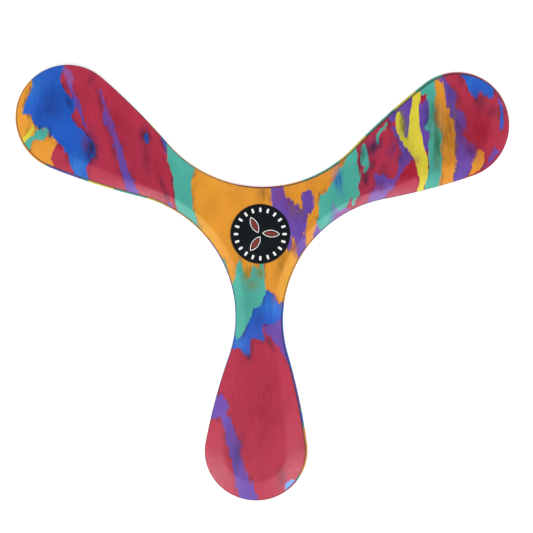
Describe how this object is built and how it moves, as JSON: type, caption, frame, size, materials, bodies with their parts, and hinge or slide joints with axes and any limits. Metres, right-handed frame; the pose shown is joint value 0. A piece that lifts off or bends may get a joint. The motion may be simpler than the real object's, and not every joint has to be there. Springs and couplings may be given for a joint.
{
  "type": "three-bladed throwing boomerang",
  "caption": "Three-bladed throwing boomerang: paddle-shaped blades with bevelled upper edges, printed film on both faces and a round hub badge.",
  "frame": {"origin": "centre of the hub on the flat underside, which is the face that the boomerang rests on", "axes": "+Z out of the bevelled upper face, along the axis that it spins about; one blade points along -Y, the others towards 30 and 150 degrees from +X"},
  "size_m": [0.2878, 0.2596, 0.0044],
  "materials": {
    "core": "moulded, dark charcoal, satin where it shows at the rim",
    "upper_film": "satin printed film, abstract streaks of crimson, blue, teal, orange, yellow and purple",
    "lower_film": "satin printed film, the same colours in another arrangement",
    "badge_adhesive": "clear pressure-sensitive adhesive layer",
    "badge_disc": "satin black sticker",
    "badge_white": "white screen-printed ink",
    "badge_red": "dark red screen-printed ink"
  },
  "bodies": {
    "root": {"core": "core", "bottom_film": "lower_film", "top_film": "upper_film", "badge_adhesive": "badge_adhesive", "badge_disc": "badge_disc", "badge_ring_marks": "badge_white", "badge_emblem_lines": "badge_white", "badge_emblem_fill": "badge_red"}
  },
  "joints": []
}
